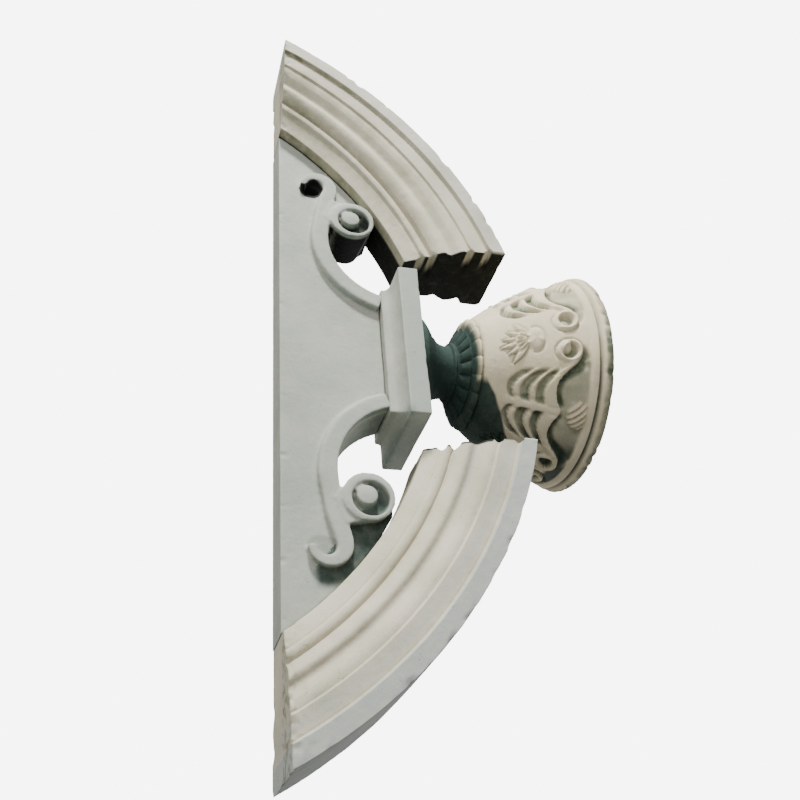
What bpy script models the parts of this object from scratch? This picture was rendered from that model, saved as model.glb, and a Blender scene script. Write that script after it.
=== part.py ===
# A broken segmental pediment with an urn on its middle pedestal, in pale stone.
#
# Frame: metres, +Z up, front towards -Y, +X to the right. The whole stands on its flat underside at
# Z = 0. Y = 0 is the front of the cornices in the building coordinates below, and everything is
# moved back by one shift at the end, so that the origin is the middle of the footprint's box.

import bpy
import bmesh
from math import acos, asin, atan2, cos, exp, hypot, pi, radians, sin, sqrt

# Whole pediment
SPAN = 1.774             # outer width of the curve at its foot
RISE = 0.537             # height that the whole curve would reach
END_GAP = 0.498          # open gap between the two upper ends
DEPTH = 0.190            # front of the cornice to its back
CLEARANCE = 0.0003       # mortar-thin gap between neighbouring pieces
OVERSHOOT = 0.020        # how far a cutting shape reaches past the face that it cuts

# Cornice moulding, from the outer edge inwards: width of each member, then its set-back
FASCIA_WIDTH = 0.036
BAND_WIDTH = 0.036
CYMA_WIDTH = 0.074
BEAD_WIDTH = 0.019
INNER_FASCIA_WIDTH = 0.032
QUIRK_WIDTH = 0.004
QUIRK_DEPTH = 0.002      # floor of a quirk behind the member that follows it
BAND_SET_BACK = 0.009
CYMA_TOP_SET_BACK = 0.014
CYMA_HOLLOW_SET_BACK = 0.033
CYMA_ROLL_SET_BACK = 0.0275
CYMA_FOOT_SET_BACK = 0.044
BEAD_SET_BACK = 0.054
INNER_FASCIA_SET_BACK = 0.058
INNER_ARRIS_SET_BACK = 0.074   # the inner fascia rakes back to this at the soffit
BACK_FILLET_WIDTH = 0.050
BACK_SET_IN = 0.010
END_FLUTE_RADIUS = 0.008
END_FLUTE_LENGTH = 0.075
SWEEP_STEPS = 18

# Panel and its carving
PANEL_SET_BACK = 0.100   # front of the panel behind the front of the cornices
DIE_HALF_WIDTH = 0.151
DIE_HEIGHT = 0.223
SCROLL_RAISE = 0.018     # how far the scroll bands stand in front of the panel
SCROLL_BEVEL = 0.007
SCROLL_EMBED = 0.008     # how far the carving's own solids reach into the panel
WEB_STEP = 0.002         # the web stands this much in front of the bands
C_CENTRE_Z = 0.274       # the C-scroll's hollow side is part of a circle at this height
C_RADIUS = 0.163
C_BAND_WIDTH = 0.041
C_EDGE_STEP = 0.001      # bare edge of the panel left round the gap
VOLUTE_Z = 0.167
VOLUTE_RADIUS = 0.053
SHOULDER_WIDTH = 0.027   # level shoulder between the volute's crown and the cornice
VOLUTE_RAISE = 0.027
VOLUTE_LIP = 0.004
VOLUTE_RING_INNER = 0.039
VOLUTE_HOLLOW_DEPTH = 0.024
VOLUTE_EYE_RADIUS = 0.022
CURL_Z = 0.088
CURL_RADIUS = 0.031
CURL_TO_CORNICE = 0.096  # middle of the curl to the cornice at the same height
CURL_EYE_RADIUS = 0.013
CURL_EYE_DEPTH = 0.045
RIGHT_CURL_EYE_DEPTH = 0.012

# Pedestal cap
CAP_HALF_WIDTH = 0.193
CAP_OVERHANG = 0.072     # front and back of the cap beyond the die
CAP_FASCIA_HEIGHT = 0.043
CAP_HOLLOW_HEIGHT = 0.021
CAP_FILLET_HEIGHT = 0.009
CAP_FILLET_OVERHANG = 0.021

# Urn
URN_HEIGHT = 0.374
URN_FOOT_RADIUS = 0.115
URN_NECK_RADIUS = 0.060
URN_RIM_RADIUS = 0.247
URN_WALL = 0.024
URN_TURN = radians(6.0)  # the urn is set a little turned on its cap
URN_SIDES = 72
HOLLOW_SIDES = 32
URN_GROUPS = 4           # leaf groups around the body
BELL_LOW = 0.350         # the bell starts and ends at these shares of the urn's height
BELL_HIGH = 0.872
BELL_SPREAD = 0.066      # radius of the bell's foot beyond the neck's
RIM_OVERHANG = 0.017     # radius of the rim beyond the top of the bell
RIM_LIP = 0.004
LEAF_LOW = 0.495
LOBE_PITCH = 0.082
SCROLL_LINE = 0.741
CARVING = 0.012          # height of the carving
LOW_LOBES = 18
HIGH_LOBES = 18
LOBE_RELIEF = 0.006
FOOT_PLINTH_HEIGHT = 0.012
MOUTH_FLOOR = 0.178      # height of the hollow's floor above the urn's underside

STONE_GREY = (0.62, 0.62, 0.58, 1.0)
STONE_CREAM = (0.68, 0.65, 0.57, 1.0)
STONE_WARM = (0.70, 0.64, 0.55, 1.0)

# Worked out from the sizes above
HALF_SPAN = SPAN / 2
ARC_RADIUS = (HALF_SPAN ** 2 + RISE ** 2) / (2 * RISE)
ARC_CENTRE_Z = RISE - ARC_RADIUS
MOULDING_WIDTH = (FASCIA_WIDTH + BAND_WIDTH + CYMA_WIDTH + BEAD_WIDTH + INNER_FASCIA_WIDTH
                  + 4 * QUIRK_WIDTH)
SOFFIT_RADIUS = ARC_RADIUS - MOULDING_WIDTH
END_X = END_GAP / 2
DIE_DEPTH = DEPTH - PANEL_SET_BACK
C_CENTRE_X = DIE_HALF_WIDTH + sqrt(C_RADIUS ** 2 - (C_CENTRE_Z - DIE_HEIGHT) ** 2)
SHOULDER_Z = VOLUTE_Z + VOLUTE_RADIUS
VOLUTE_X = sqrt(SOFFIT_RADIUS ** 2 - (SHOULDER_Z - ARC_CENTRE_Z) ** 2) - SHOULDER_WIDTH
CURL_X = sqrt(SOFFIT_RADIUS ** 2 - (CURL_Z - ARC_CENTRE_Z) ** 2) - CURL_TO_CORNICE
URN_AXIS_Y = PANEL_SET_BACK + DIE_DEPTH / 2
CAP_BASE_Z = DIE_HEIGHT + CLEARANCE
CAP_TOP_Z = CAP_BASE_Z + CAP_FILLET_HEIGHT + CAP_HOLLOW_HEIGHT + CAP_FASCIA_HEIGHT
URN_BASE_Z = CAP_TOP_Z + CLEARANCE
FRONT_Y = min(URN_AXIS_Y - URN_RIM_RADIUS, 0.0)
BACK_Y = max(URN_AXIS_Y + URN_RIM_RADIUS, DEPTH)
SHIFT_Y = -(FRONT_Y + BACK_Y) / 2


def clear_scene():
    for thing in list(bpy.data.objects):
        bpy.data.objects.remove(thing, do_unlink=True)


def stone(name, colour, roughness):
    material = bpy.data.materials.new(name)
    material.use_nodes = True
    shader = material.node_tree.nodes["Principled BSDF"]
    shader.inputs["Base Color"].default_value = colour
    shader.inputs["Roughness"].default_value = roughness
    shader.inputs["Metallic"].default_value = 0.0
    return material


def add_object(name, mesh_data, material=None, sharp_degrees=35):
    bmesh.ops.recalc_face_normals(mesh_data, faces=mesh_data.faces)
    mesh = bpy.data.meshes.new(name)
    mesh_data.to_mesh(mesh)
    mesh_data.free()
    mesh.shade_smooth()
    mesh.set_sharp_from_angle(angle=radians(sharp_degrees))
    if material:
        mesh.materials.append(material)
    thing = bpy.data.objects.new(name, mesh)
    bpy.context.scene.collection.objects.link(thing)
    thing.location.y = SHIFT_Y
    return thing


def as_guide(thing):
    thing.hide_render = True
    thing.display_type = "WIRE"
    return thing


def combine(target, other, operation):
    step = target.modifiers.new(operation.title() + " " + other.name, "BOOLEAN")
    step.operation = operation
    step.solver = "EXACT"
    step.object = as_guide(other)


def arc_points(centre_x, centre_z, radius, start, end, steps):
    return [(centre_x + radius * cos(start + (end - start) * i / steps),
             centre_z + radius * sin(start + (end - start) * i / steps)) for i in range(steps + 1)]


def extrude_outline(outline, front, back):
    # A closed outline in X and Z, given front and back planes
    data = bmesh.new()
    near = [data.verts.new((x, front, z)) for x, z in outline]
    far = [data.verts.new((x, back, z)) for x, z in outline]
    data.faces.new(near)
    data.faces.new(far[::-1])
    for i in range(len(outline)):
        j = (i + 1) % len(outline)
        data.faces.new((near[i], far[i], far[j], near[j]))
    return data


def turned(profile, sides, place):
    # A profile of (radius, height) points that starts and ends on the axis, spun round it
    data = bmesh.new()
    rings = []
    for radius, height in profile:
        if radius < 1e-6:
            rings.append([data.verts.new(place(0.0, 0.0, height))])
        else:
            rings.append([data.verts.new(place(radius, 2 * pi * i / sides, height))
                          for i in range(sides)])
    for low, high in zip(rings, rings[1:]):
        for i in range(sides):
            j = (i + 1) % sides
            if len(low) == 1:
                data.faces.new((low[0], high[i], high[j]))
            elif len(high) == 1:
                data.faces.new((low[i], low[j], high[0]))
            else:
                data.faces.new((low[i], low[j], high[j], high[i]))
    return data


# Cornices

def cornice_profile():
    # Points of (inset from the outer edge, distance behind the front), clockwise from the top front
    points = [(0.0, 0.0), (FASCIA_WIDTH, 0.0)]
    inset = FASCIA_WIDTH

    def quirk(next_face):
        nonlocal inset
        points.append((inset + QUIRK_WIDTH * 0.8, next_face + QUIRK_DEPTH))
        inset += QUIRK_WIDTH
        points.append((inset, next_face))

    quirk(BAND_SET_BACK)
    inset += BAND_WIDTH
    points.append((inset, BAND_SET_BACK))
    quirk(CYMA_TOP_SET_BACK)
    turns = [(0.0, CYMA_TOP_SET_BACK), (0.48, CYMA_HOLLOW_SET_BACK), (0.69, CYMA_ROLL_SET_BACK),
             (1.0, CYMA_FOOT_SET_BACK)]
    steps = 3
    for (low, low_back), (high, high_back) in zip(turns, turns[1:]):
        for i in range(1, steps + 1):
            share = i / steps
            eased = share * share * (3 - 2 * share)
            points.append((inset + CYMA_WIDTH * (low + (high - low) * share),
                           low_back + (high_back - low_back) * eased))
    inset += CYMA_WIDTH
    quirk(BEAD_SET_BACK)
    points.append((inset + BEAD_WIDTH / 2, BEAD_SET_BACK - BEAD_WIDTH * 0.3))
    inset += BEAD_WIDTH
    points.append((inset, BEAD_SET_BACK))
    quirk(INNER_FASCIA_SET_BACK)
    points.append((MOULDING_WIDTH, INNER_ARRIS_SET_BACK))
    points.append((MOULDING_WIDTH, DEPTH - BACK_SET_IN))
    points.append((BACK_FILLET_WIDTH, DEPTH - BACK_SET_IN))
    points.append((BACK_FILLET_WIDTH, DEPTH))
    points.append((0.0, DEPTH))
    return points


def build_cornice(name, side, material):
    profile = cornice_profile()
    data = bmesh.new()
    grid = []
    for step in range(SWEEP_STEPS + 1):
        ring = []
        for inset, back in profile:
            radius = ARC_RADIUS - inset
            upper = asin(END_X / radius)
            foot = acos(-ARC_CENTRE_Z / radius)
            angle = upper + (foot - upper) * step / SWEEP_STEPS
            ring.append(data.verts.new((side * radius * sin(angle), back,
                                        ARC_CENTRE_Z + radius * cos(angle))))
        grid.append(ring)
    count = len(profile)
    for ring, following in zip(grid, grid[1:]):
        for i in range(count):
            j = (i + 1) % count
            data.faces.new((ring[i], ring[j], following[j], following[i]))
    data.faces.new(grid[0])
    data.faces.new(grid[-1])
    cornice = add_object(name, data, material)
    combine(cornice, end_flutes(name, side), "DIFFERENCE")
    return cornice


def quirks():
    # Inset and set-back of each quirk
    first = FASCIA_WIDTH + QUIRK_WIDTH / 2
    second = first + BAND_WIDTH + QUIRK_WIDTH
    third = second + CYMA_WIDTH + QUIRK_WIDTH
    fourth = third + BEAD_WIDTH + QUIRK_WIDTH
    return ((first, BAND_SET_BACK), (second, CYMA_TOP_SET_BACK), (third, BEAD_SET_BACK),
            (fourth, INNER_FASCIA_SET_BACK))


def end_flutes(name, side):
    # The quirks run a little way back across the cut end, as flutes that die away
    data = bmesh.new()
    sides = 8
    end_share = 0.1
    for inset, set_back in quirks():
        radius = ARC_RADIUS - inset
        height = ARC_CENTRE_Z + sqrt(radius ** 2 - END_X ** 2)
        near = []
        far = []
        for i in range(sides):
            turn = 2 * pi * (i + 0.5) / sides
            out = END_FLUTE_RADIUS * cos(turn)
            up = END_FLUTE_RADIUS * sin(turn)
            near.append(data.verts.new((side * END_X + out, -OVERSHOOT, height + up)))
            far.append(data.verts.new((side * END_X + out * end_share, set_back + END_FLUTE_LENGTH,
                                       height + up * end_share)))
        data.faces.new(near)
        data.faces.new(far[::-1])
        for i in range(sides):
            j = (i + 1) % sides
            data.faces.new((near[i], far[i], far[j], near[j]))
    return add_object(name + " end flutes", data)


# Panel

def panel_half_outline():
    # From the foot of the panel up round the right side to the top of the die
    edge = SOFFIT_RADIUS - CLEARANCE
    foot = atan2(-ARC_CENTRE_Z, sqrt(edge ** 2 - ARC_CENTRE_Z ** 2))
    shoulder = asin((SHOULDER_Z - ARC_CENTRE_Z) / edge)
    points = arc_points(0.0, ARC_CENTRE_Z, edge, foot, shoulder, SWEEP_STEPS)
    points.append((VOLUTE_X, SHOULDER_Z))
    core = VOLUTE_RADIUS - VOLUTE_LIP
    points += arc_points(VOLUTE_X, VOLUTE_Z, core, radians(110), radians(225), 6)
    drop = asin(min(1.0, (C_CENTRE_Z - points[-1][1]) / C_RADIUS))
    start = -drop if points[-1][0] > C_CENTRE_X else drop - pi
    points += arc_points(C_CENTRE_X, C_CENTRE_Z, C_RADIUS, start, c_start(C_RADIUS) - 2 * pi, 12)
    return points


def c_start(radius):
    # Angle at which a circle round the C-scroll's centre passes the top of the die
    return pi + asin((C_CENTRE_Z - DIE_HEIGHT) / radius)


def mirrored(points):
    return [(-x, z) for x, z in reversed(points)]


def scroll_outline():
    # The C-scroll, its rise and the curl at its end, as one band
    end = radians(278)
    steps = 10
    inner_radius = C_RADIUS + C_EDGE_STEP
    outer_radius = C_RADIUS + C_BAND_WIDTH
    inner = arc_points(C_CENTRE_X, C_CENTRE_Z, inner_radius, c_start(inner_radius), end, steps)
    outer = arc_points(C_CENTRE_X, C_CENTRE_Z, outer_radius, c_start(outer_radius), end, steps)
    last_x = (inner[-1][0] + outer[-1][0]) / 2
    last_z = (inner[-1][1] + outer[-1][1]) / 2
    line = [(last_x, last_z, C_BAND_WIDTH)]
    line.append(((last_x + CURL_X) / 2, CURL_Z + CURL_RADIUS * 0.42, C_BAND_WIDTH * 0.95))
    for i in range(8):
        turn = radians(112 - 200 * i / 7)
        width = C_BAND_WIDTH * (0.92 - 0.50 * i / 7)
        line.append((CURL_X + CURL_RADIUS * cos(turn), CURL_Z + CURL_RADIUS * sin(turn), width))
    for i in range(1, len(line)):
        x, z, width = line[i]
        after = line[min(i + 1, len(line) - 1)]
        run_x = after[0] - line[i - 1][0]
        run_z = after[1] - line[i - 1][1]
        length = hypot(run_x, run_z)
        inner.append((x - run_z / length * width / 2, z + run_x / length * width / 2))
        outer.append((x + run_z / length * width / 2, z - run_x / length * width / 2))
    return inner + outer[::-1]


def bevel_front(thing, width):
    step = thing.modifiers.new("Rounded edges", "BEVEL")
    step.width = width
    step.segments = 1
    step.limit_method = "ANGLE"
    step.angle_limit = radians(60)


def volute_turned(side):
    front = PANEL_SET_BACK - VOLUTE_RAISE
    back = DEPTH - VOLUTE_LIP
    lip = VOLUTE_LIP
    floor = front + VOLUTE_HOLLOW_DEPTH
    profile = [(0.0, back), (VOLUTE_RADIUS, back), (VOLUTE_RADIUS, front + lip),
               (VOLUTE_RADIUS - lip, front), (VOLUTE_RING_INNER + lip, front),
               (VOLUTE_RING_INNER, front + lip), (VOLUTE_RING_INNER - lip / 2, floor),
               (VOLUTE_EYE_RADIUS, floor), (VOLUTE_EYE_RADIUS - lip / 2, front + 2 * lip),
               (VOLUTE_EYE_RADIUS * 0.6, front + lip / 2), (0.0, front)]
    return turned(profile, 28, lambda radius, turn, y: (side * (VOLUTE_X + radius * cos(turn)), y,
                                                        VOLUTE_Z + radius * sin(turn)))


def web_outline(side):
    # The flat cheek that joins the volute's right side to the rising band
    points = [(VOLUTE_X + VOLUTE_RADIUS * 0.50, VOLUTE_Z + VOLUTE_RADIUS * 0.80),
              (VOLUTE_X + VOLUTE_RADIUS * 0.95, VOLUTE_Z + VOLUTE_RADIUS * 0.30),
              (VOLUTE_X + VOLUTE_RADIUS * 1.18, VOLUTE_Z - VOLUTE_RADIUS * 0.35),
              (VOLUTE_X + VOLUTE_RADIUS * 1.22, VOLUTE_Z - VOLUTE_RADIUS * 0.80),
              (VOLUTE_X + VOLUTE_RADIUS * 0.10, VOLUTE_Z - VOLUTE_RADIUS * 1.25),
              (VOLUTE_X - VOLUTE_RADIUS * 0.45, VOLUTE_Z - VOLUTE_RADIUS * 0.90)]
    return [(side * x, z) for x, z in points]


def curl_eye(side, depth):
    front = PANEL_SET_BACK - SCROLL_RAISE
    profile = [(0.0, front - OVERSHOOT), (CURL_EYE_RADIUS, front - OVERSHOOT),
               (CURL_EYE_RADIUS * 0.8, front + depth), (0.0, front + depth)]
    middle_x = CURL_X - CURL_RADIUS * 0.19
    middle_z = CURL_Z - CURL_RADIUS * 0.39
    return turned(profile, 12, lambda radius, turn, y: (side * (middle_x + radius * cos(turn)), y,
                                                        middle_z + 1.3 * radius * sin(turn)))


def build_panel(material):
    right = panel_half_outline()
    outline = right + mirrored(right)
    panel = add_object("tympanum_panel", extrude_outline(outline, PANEL_SET_BACK, DEPTH), material)
    for side, word in ((1, "right"), (-1, "left")):
        volute = add_object(word + " volute", volute_turned(side))
        combine(panel, volute, "UNION")
        band = [(side * x, z) for x, z in scroll_outline()]
        scroll = add_object(word + " scroll", extrude_outline(band, PANEL_SET_BACK - SCROLL_RAISE,
                                                              PANEL_SET_BACK + SCROLL_EMBED))
        bevel_front(scroll, SCROLL_BEVEL)
        combine(panel, scroll, "UNION")
        web = add_object(word + " web", extrude_outline(web_outline(side),
                                                        PANEL_SET_BACK - SCROLL_RAISE - WEB_STEP,
                                                        PANEL_SET_BACK + SCROLL_EMBED))
        combine(panel, web, "UNION")
        depth = RIGHT_CURL_EYE_DEPTH if side > 0 else CURL_EYE_DEPTH
        combine(panel, add_object(word + " curl eye", curl_eye(side, depth)), "DIFFERENCE")
    return panel


# Cap

def build_cap(material):
    # Rectangles stacked from below, each set in by the moulding's projection
    side_reach = CAP_HALF_WIDTH - DIE_HALF_WIDTH
    hollow_base = CAP_BASE_Z + CAP_FILLET_HEIGHT
    fascia_base = hollow_base + CAP_HOLLOW_HEIGHT
    fillet = CAP_FILLET_OVERHANG / CAP_OVERHANG
    levels = [(fillet, CAP_BASE_Z), (fillet, hollow_base)]
    steps = 6
    for i in range(steps + 1):
        turn = pi / 2 * i / steps
        share = fillet + (0.93 - fillet) * (1 - cos(turn)) ** 0.8
        levels.append((share, hollow_base + 0.0015 + (CAP_HOLLOW_HEIGHT - 0.003) * sin(turn)))
    levels += [(1.0, fascia_base), (1.0, CAP_TOP_Z)]
    data = bmesh.new()
    rings = []
    for share, z in levels:
        x = DIE_HALF_WIDTH + side_reach * share
        front = PANEL_SET_BACK - CAP_OVERHANG * share
        back = DEPTH + CAP_OVERHANG * share
        rings.append([data.verts.new(corner) for corner in
                      ((-x, front, z), (x, front, z), (x, back, z), (-x, back, z))])
    for low, high in zip(rings, rings[1:]):
        for i in range(4):
            j = (i + 1) % 4
            data.faces.new((low[i], low[j], high[j], high[i]))
    data.faces.new(rings[0])
    data.faces.new(rings[-1])
    return add_object("pedestal_cap", data, material)


# Urn

def bell(value, centre, width):
    return exp(-((value - centre) / width) ** 2)


def between(points, value):
    # Straight-line reading of a short list of (position, value) pairs
    for (x0, y0), (x1, y1) in zip(points, points[1:]):
        if value <= x1:
            return y0 + (y1 - y0) * (value - x0) / (x1 - x0)
    return points[-1][1]


def degrees_from_rib(turn):
    # 0 on the rib of a leaf, 45 on the flower between two leaves
    group = 2 * pi / URN_GROUPS
    around = (turn - URN_TURN + 1e-9) % group - group / 2
    return abs(around) / (group / 2) * 45


def body_radius(height):
    # Bell of the urn for a height given as a share of the urn's
    share = min(max((height - BELL_LOW) / (BELL_HIGH - BELL_LOW), 0.0), 1.0)
    low = URN_NECK_RADIUS + BELL_SPREAD
    high = URN_RIM_RADIUS - RIM_OVERHANG
    return low + (high - low) * (0.56 * sin(share * pi / 2) ** 0.9 + 0.44 * share)


def scroll_rise(away):
    # The scroll band dips beside the rib, then climbs to the volute
    path = [(0, 0), (8, -0.024), (14, 0), (20, 0.061), (26, 0.094), (30, 0.072), (35, 0.024),
            (40, 0.010), (45, 0)]
    return between(path, away)


def leaf_sag(away):
    dip = -0.043 * sin(pi * min(away, 19) / 13)
    return dip * min(1.0, max(0.0, (31 - away) / 8))


def lobe_edge(away):
    flower = bell(away, 45, 6)
    return CARVING * (1.0 * (2 < away < 23) + 0.9 * (away <= 2) + 0.5 * flower)


def lobe_recess(away):
    return CARVING * (0.05 * (2 < away < 23) + 0.9 * (away <= 2) + 0.5 * bell(away, 45, 4)
                      + 0.45 * bell(away, 35, 3))


def flower_head(away):
    return CARVING * (1.0 * (2 < away < 23) + 0.9 * (away <= 2) + 0.95 * bell(away, 45, 6))


def scroll_side(away):
    return CARVING * (0.25 + 0.8 * bell(away, 35, 5))


def scroll_crest(away):
    return CARVING * (1.0 * (away < 28) + 0.7 * (away >= 28) * (away < 42) + 0.75 * bell(away, 35, 3))


def scroll_back(away):
    return CARVING * (-0.15 + 0.95 * bell(away, 35, 5))


def scroll_hollow(away):
    return CARVING * (-0.65 * (away < 28) + 0.25 * bell(away, 35, 5))


def tassel(away):
    return CARVING * 0.6 * bell(away, 0, 6)


def plain(away):
    return 0.0


def body_rows():
    # Height as a share of the urn's, how far the row follows the scroll and the leaf, its relief
    rows = [(0.412, 0, 0, plain), (0.452, 0, 0, plain)]
    for lobe in range(3):
        edge = LEAF_LOW + LOBE_PITCH * lobe
        top = flower_head if lobe == 1 else lobe_edge
        rows.append((edge - 0.016, 0, 1, lobe_recess if lobe < 2 else flower_head))
        rows.append((edge, 0, 1, top))
    rows += [(SCROLL_LINE - 0.029, 0.9, 0.2, scroll_side), (SCROLL_LINE, 1, 0, scroll_crest),
             (SCROLL_LINE + 0.029, 0.75, 0, scroll_back), (SCROLL_LINE + 0.053, 0.55, 0, scroll_hollow),
             (0.829, 0.25, 0, tassel), (BELL_HIGH, 0, 0, plain)]
    return rows


def foot_rows():
    # Radius, height as a share of the urn's, number of lobes round it
    neck = URN_NECK_RADIUS
    foot = URN_FOOT_RADIUS
    plinth = FOOT_PLINTH_HEIGHT / URN_HEIGHT
    return [(foot, 0.0, 0), (foot, plinth, 0), (foot * 0.91, 0.065, 0), (neck * 1.43, 0.110, 0),
            (neck * 1.07, 0.160, 0), (neck, 0.202, 0), (neck * 1.13, 0.224, 0),
            (neck * 1.13, 0.240, 0), (neck * 1.20, 0.250, LOW_LOBES), (neck * 1.55, 0.288, LOW_LOBES),
            (neck * 1.63, 0.298, 0), (neck * 1.90, 0.314, HIGH_LOBES), (neck * 1.98, 0.330, HIGH_LOBES),
            (neck * 1.92, 0.338, 0)]


def urn_point(radius, turn, height):
    return (radius * sin(turn), URN_AXIS_Y - radius * cos(turn), URN_BASE_Z + height)


def urn_rings():
    turns = [URN_TURN + 2 * pi * i / URN_SIDES for i in range(URN_SIDES)]
    rings = []
    for radius, share, lobes in foot_rows():
        swell = LOBE_RELIEF if lobes else 0.0
        rings.append([urn_point(radius + swell * abs(cos(lobes * turn / 2)), turn, URN_HEIGHT * share)
                      for turn in turns])
    rings.append([urn_point(body_radius(BELL_LOW), turn, URN_HEIGHT * BELL_LOW) for turn in turns])
    for level, with_scroll, with_leaf, relief in body_rows():
        ring = []
        for turn in turns:
            away = degrees_from_rib(turn)
            share = level + with_scroll * scroll_rise(away) + with_leaf * leaf_sag(away)
            ring.append(urn_point(body_radius(share) + relief(away), turn, URN_HEIGHT * share))
        rings.append(ring)
    rim = URN_RIM_RADIUS
    for radius, share in ((rim * 0.955, 0.885), (rim * 0.968, 0.918), (rim * 0.947, 0.928),
                          (rim * 0.980, 0.940), (rim, 0.965), (rim * 0.992, 0.990), (rim * 0.960, 1.0)):
        rings.append([urn_point(radius, turn, URN_HEIGHT * share) for turn in turns])
    return rings


def build_urn(material):
    data = bmesh.new()
    rings = [[data.verts.new(point) for point in ring] for ring in urn_rings()]
    for low, high in zip(rings, rings[1:]):
        for i in range(URN_SIDES):
            j = (i + 1) % URN_SIDES
            data.faces.new((low[i], low[j], high[j], high[i]))
    data.faces.new(rings[0][::-1])
    data.faces.new(rings[-1])
    urn = add_object("urn", data, material)
    combine(urn, urn_hollow(), "DIFFERENCE")
    return urn


def urn_hollow():
    steps = 5
    start = (MOUTH_FLOOR + URN_WALL / 2) / URN_HEIGHT
    profile = [(0.0, MOUTH_FLOOR), (body_radius(start) * 0.4, MOUTH_FLOOR)]
    for i in range(steps):
        share = start + (BELL_HIGH - start) * i / (steps - 1)
        profile.append((body_radius(share) - URN_WALL, URN_HEIGHT * share))
    mouth = URN_RIM_RADIUS - URN_WALL - RIM_LIP
    above = URN_HEIGHT + OVERSHOOT
    profile += [(mouth, URN_HEIGHT * 0.93), (mouth, above), (0.0, above)]
    return add_object("urn hollow", turned(profile, HOLLOW_SIDES, urn_point))


def main():
    clear_scene()
    grey = stone("panel limestone", STONE_GREY, 0.85)
    cream = stone("cornice limestone", STONE_CREAM, 0.85)
    warm = stone("urn limestone", STONE_WARM, 0.85)
    build_cornice("left_raking_cornice", -1, cream)
    build_cornice("right_raking_cornice", 1, cream)
    build_panel(grey)
    build_cap(grey)
    build_urn(warm)


main()
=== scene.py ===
# A broken segmental pediment with a carved urn, in weathered pale limestone.
# Each stone is modelled in full here and stands for the plain solid of the same place.

from math import asin, atan2, cos, pi, radians, sin, sqrt

import bmesh
import bpy
import numpy as np
from mathutils import Matrix, Vector


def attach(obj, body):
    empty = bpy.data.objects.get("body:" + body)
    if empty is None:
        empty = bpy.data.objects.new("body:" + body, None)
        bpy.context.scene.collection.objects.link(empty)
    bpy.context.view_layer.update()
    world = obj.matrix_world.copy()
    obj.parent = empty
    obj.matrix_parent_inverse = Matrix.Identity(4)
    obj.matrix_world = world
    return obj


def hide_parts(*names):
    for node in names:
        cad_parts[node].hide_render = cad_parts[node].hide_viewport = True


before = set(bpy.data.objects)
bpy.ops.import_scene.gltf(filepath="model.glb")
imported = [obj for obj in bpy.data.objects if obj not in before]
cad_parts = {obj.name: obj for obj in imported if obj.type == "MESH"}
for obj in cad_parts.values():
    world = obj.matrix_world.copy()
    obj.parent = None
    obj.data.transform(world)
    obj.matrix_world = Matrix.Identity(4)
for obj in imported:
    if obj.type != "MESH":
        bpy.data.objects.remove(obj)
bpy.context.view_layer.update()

# Real sizes in metres, the same as the solids'
SPAN, RISE, END_GAP, DEPTH = 1.774, 0.537, 0.498, 0.190
CLEARANCE = 0.0003
FRONT_Y = -0.145                      # front of the cornices
FASCIA, BAND, CYMA, BEAD, INNER, QUIRK = 0.036, 0.036, 0.074, 0.019, 0.032, 0.004
BAND_BACK, CYMA_BACK, CYMA_FOOT_BACK, BEAD_BACK, INNER_BACK = 0.009, 0.014, 0.044, 0.054, 0.058
INNER_ARRIS = 0.074                   # the inner fascia rakes back to this at the soffit
BACK_FILLET, BACK_SET_IN = 0.050, 0.010
PANEL_BACK = 0.100                    # front of the panel behind the front of the cornices
DIE_HALF, DIE_TOP = 0.151, 0.223
SCROLL_RAISE, C_Z, C_RADIUS, C_WIDTH = 0.018, 0.274, 0.163, 0.041
VOLUTE_Z, VOLUTE_RADIUS, VOLUTE_RAISE, SHOULDER = 0.167, 0.053, 0.027, 0.027
CURL_Z, CURL_RADIUS, CURL_TO_CORNICE = 0.088, 0.031, 0.096
CAP_HALF, CAP_OVERHANG = 0.193, 0.072
CAP_FILLET, CAP_HOLLOW, CAP_FASCIA, CAP_FILLET_OUT = 0.009, 0.021, 0.043, 0.021
URN_HEIGHT, URN_FOOT, URN_NECK, URN_RIM, URN_WALL = 0.374, 0.115, 0.060, 0.247, 0.024
BELL_LOW, BELL_HIGH = 0.350, 0.872    # shares of the urn's height
BELL_SPREAD, RIM_SET_IN = 0.066, 0.017
URN_TURN, LOBES, MOUTH_FLOOR = 7.5, 18, 0.178

# Finer forms, in metres, which only the dressed stone has
ARRIS = 0.0025                        # worn rounding of the outer edges
FLUTE_HALF, FLUTE_DEPTH, FLUTE_LENGTH = 0.008, 0.008, 0.075
DRUM_SLIM = 0.014                     # how far the slab stays inside the volute's drum
RECESS_RADIUS, RECESS_DEPTH, BOSS_RADIUS = 0.0375, 0.022, 0.0215
RECESS_OFF, BOSS_OFF = (0.0045, 0.0035), (-0.0035, -0.0030)
EYE_ACROSS, EYE_UP = 0.0125, 0.0190   # half width and half height of a drilled eye
RIGHT_EYE_DEPTH, LEFT_EYE_DEPTH = 0.012, 0.045
STONE_CELL = 0.0029                   # fineness of the panel's carved skin
CUP_TOP, GROOVE_LEVEL = 0.131, 0.3448

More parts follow.
